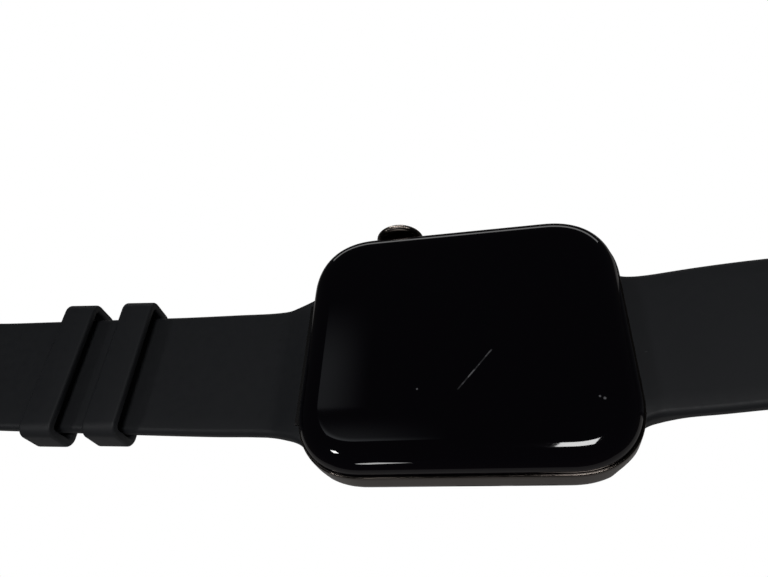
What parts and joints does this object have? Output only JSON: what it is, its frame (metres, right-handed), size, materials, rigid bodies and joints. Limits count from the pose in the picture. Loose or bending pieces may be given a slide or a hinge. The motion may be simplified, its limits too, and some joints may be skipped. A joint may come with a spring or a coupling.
{
  "type": "smartwatch",
  "caption": "Rounded-rectangle smartwatch with a gloss black case, a curved cover glass, a side crown and a matte silicone pin-buckle strap.",
  "frame": {"origin": "centre of the flat on the sensor window, which the watch rests on", "axes": "+X to the six o'clock strap, +Y out through the crown, +Z out of the display"},
  "size_m": [0.2429, 0.0397, 0.0107],
  "materials": {
    "black_case": "gloss black coating on metal",
    "black_glass": "polished, opaque black when the display is off",
    "display": "satin",
    "silicone": "matte, with fine dust",
    "back_ceramic": "polished",
    "seal_rubber": "matte",
    "steel": "satin",
    "black_steel": "satin black",
    "copper": "enamelled copper wire",
    "circuit_board": "solder mask",
    "battery_wrap": "foil wrap",
    "led_lens": "clear resin",
    "photodiode": "dark resin",
    "nylon": "moulded"
  },
  "bodies": {
    "watch_case": {"case_body": "black_case", "cover_glass": "black_glass", "back_cover": "back_ceramic", "sensor_window": "back_ceramic", "display_panel": "display", "display_gasket": "seal_rubber", "back_gasket": "seal_rubber", "sensor_board": "circuit_board", "sensor_led_1": "led_lens", "sensor_led_2": "led_lens", "photodiode_1": "photodiode", "photodiode_2": "photodiode", "charging_coil": "copper", "alignment_magnet": "steel", "main_board": "circuit_board", "processor_shield": "steel", "power_shield": "steel", "battery": "battery_wrap", "haptic_motor": "steel", "speaker": "nylon", "microphone": "steel", "display_connector": "nylon", "crown_bush": "steel", "crown_seal": "seal_rubber", "crown_switch": "steel", "button_switch": "steel", "board_screw_1": "steel", "board_screw_2": "steel", "board_screw_3": "steel", "board_screw_4": "steel"},
    "crown_carrier": {"crown_push_plate": "steel"},
    "crown": {"crown_cap": "black_case", "crown_shaft": "steel"},
    "side_button": {"side_button": "black_case"},
    "release_12": {"release_button_12": "black_steel"},
    "release_6": {"release_button_6": "black_steel"},
    "band_12_lug": {"lug_12": "black_steel", "strap_12_root": "silicone"},
    "band_6_lug": {"lug_6": "black_steel", "strap_6_root": "silicone"},
    "band_12_link_1": {"strap_12_link_1": "silicone"},
    "band_12_link_2": {"strap_12_link_2": "silicone"},
    "band_12_link_3": {"strap_12_link_3": "silicone"},
    "band_12_link_4": {"strap_12_link_4": "silicone", "buckle_bar": "steel"},
    "band_6_link_1": {"strap_6_link_1": "silicone"},
    "band_6_link_2": {"strap_6_link_2": "silicone"},
    "band_6_link_3": {"strap_6_link_3": "silicone"},
    "band_6_link_4": {"strap_6_link_4": "silicone"},
    "band_6_link_5": {"strap_6_link_5": "silicone"},
    "band_6_link_6": {"strap_6_link_6": "silicone"},
    "keeper_1": {"keeper_1": "silicone"},
    "keeper_2": {"keeper_2": "silicone"},
    "buckle": {"buckle_frame": "black_steel"},
    "tongue": {"buckle_tongue": "black_steel"}
  },
  "joints": [
    {"name": "crown_press", "type": "slide", "parent": "watch_case", "child": "crown_carrier", "axis": [0, -1, 0], "range_m": [0, 0.0002], "stiffness_N_per_m": 3000},
    {"name": "crown_spin", "type": "hinge", "parent": "crown_carrier", "child": "crown", "pos_m": [-0.0095, 0.019, 0.0062], "axis": [0, 1, 0], "continuous": true},
    {"name": "side_button_press", "type": "slide", "parent": "watch_case", "child": "side_button", "axis": [0, -1, 0], "range_m": [0, 0.0002], "stiffness_N_per_m": 3000},
    {"name": "release_12_press", "type": "slide", "parent": "watch_case", "child": "release_12", "axis": [0, 0, 1], "range_m": [0, 0.0005], "stiffness_N_per_m": 1500},
    {"name": "release_6_press", "type": "slide", "parent": "watch_case", "child": "release_6", "axis": [0, 0, 1], "range_m": [0, 0.0005], "stiffness_N_per_m": 1500},
    {"name": "lug_12_slide", "type": "slide", "parent": "watch_case", "child": "band_12_lug", "axis": [0, 1, 0], "range_m": [-0.028, 0.028]},
    {"name": "lug_6_slide", "type": "slide", "parent": "watch_case", "child": "band_6_lug", "axis": [0, 1, 0], "range_m": [-0.028, 0.028]},
    {"name": "band_12_flex_1", "type": "hinge", "parent": "band_12_lug", "child": "band_12_link_1", "pos_m": [-0.0282, 0, 0.00135], "axis": [0, 1, 0], "range_deg": [-45, 25], "stiffness_Nm_per_rad": 0.008},
    {"name": "band_12_flex_2", "type": "hinge", "parent": "band_12_link_1", "child": "band_12_link_2", "pos_m": [-0.0375, 0, 0.00175], "axis": [0, 1, 0], "range_deg": [-45, 25], "stiffness_Nm_per_rad": 0.008},
    {"name": "band_12_flex_3", "type": "hinge", "parent": "band_12_link_2", "child": "band_12_link_3", "pos_m": [-0.0465, 0, 0.00235], "axis": [0, 1, 0], "range_deg": [-45, 25], "stiffness_Nm_per_rad": 0.008},
    {"name": "band_12_flex_4", "type": "hinge", "parent": "band_12_link_3", "child": "band_12_link_4", "pos_m": [-0.0735, 0, 0.00518], "axis": [0, 1, 0], "range_deg": [-45, 25], "stiffness_Nm_per_rad": 0.008},
    {"name": "band_6_flex_1", "type": "hinge", "parent": "band_6_lug", "child": "band_6_link_1", "pos_m": [0.0275, 0, 0.004], "axis": [0, 1, 0], "range_deg": [-25, 36], "stiffness_Nm_per_rad": 0.008},
    {"name": "band_6_flex_2", "type": "hinge", "parent": "band_6_link_1", "child": "band_6_link_2", "pos_m": [0.043, 0, 0.0061], "axis": [0, 1, 0], "range_deg": [-25, 36], "stiffness_Nm_per_rad": 0.008},
    {"name": "band_6_flex_3", "type": "hinge", "parent": "band_6_link_2", "child": "band_6_link_3", "pos_m": [0.061, 0, 0.0055], "axis": [0, 1, 0], "range_deg": [-25, 36], "stiffness_Nm_per_rad": 0.008},
    {"name": "band_6_flex_4", "type": "hinge", "parent": "band_6_link_3", "child": "band_6_link_4", "pos_m": [0.08, 0, 0.0021], "axis": [0, 1, 0], "range_deg": [-25, 36], "stiffness_Nm_per_rad": 0.008},
    {"name": "band_6_flex_5", "type": "hinge", "parent": "band_6_link_4", "child": "band_6_link_5", "pos_m": [0.0994, 0, 0.0012], "axis": [0, 1, 0], "range_deg": [-25, 36], "stiffness_Nm_per_rad": 0.008},
    {"name": "band_6_flex_6", "type": "hinge", "parent": "band_6_link_5", "child": "band_6_link_6", "pos_m": [0.1189, 0, 0.0012], "axis": [0, 1, 0], "range_deg": [-25, 36], "stiffness_Nm_per_rad": 0.008},
    {"name": "keeper_1_slide", "type": "slide", "parent": "band_12_link_3", "child": "keeper_1", "axis": [0.9946, 0, -0.1042], "range_m": [-0.002, 0.003]},
    {"name": "keeper_2_slide", "type": "slide", "parent": "band_12_link_3", "child": "keeper_2", "axis": [0.9946, 0, -0.1042], "range_m": [-0.003, 0.004]},
    {"name": "buckle_swivel", "type": "hinge", "parent": "band_12_link_4", "child": "buckle", "pos_m": [-0.0875, 0, 0.00665], "axis": [0, 1, 0], "range_deg": [-60, 60]},
    {"name": "tongue_swivel", "type": "hinge", "parent": "buckle", "child": "tongue", "pos_m": [-0.0875, 0, 0.00665], "axis": [0, 1, 0], "range_deg": [0, 90]}
  ]
}
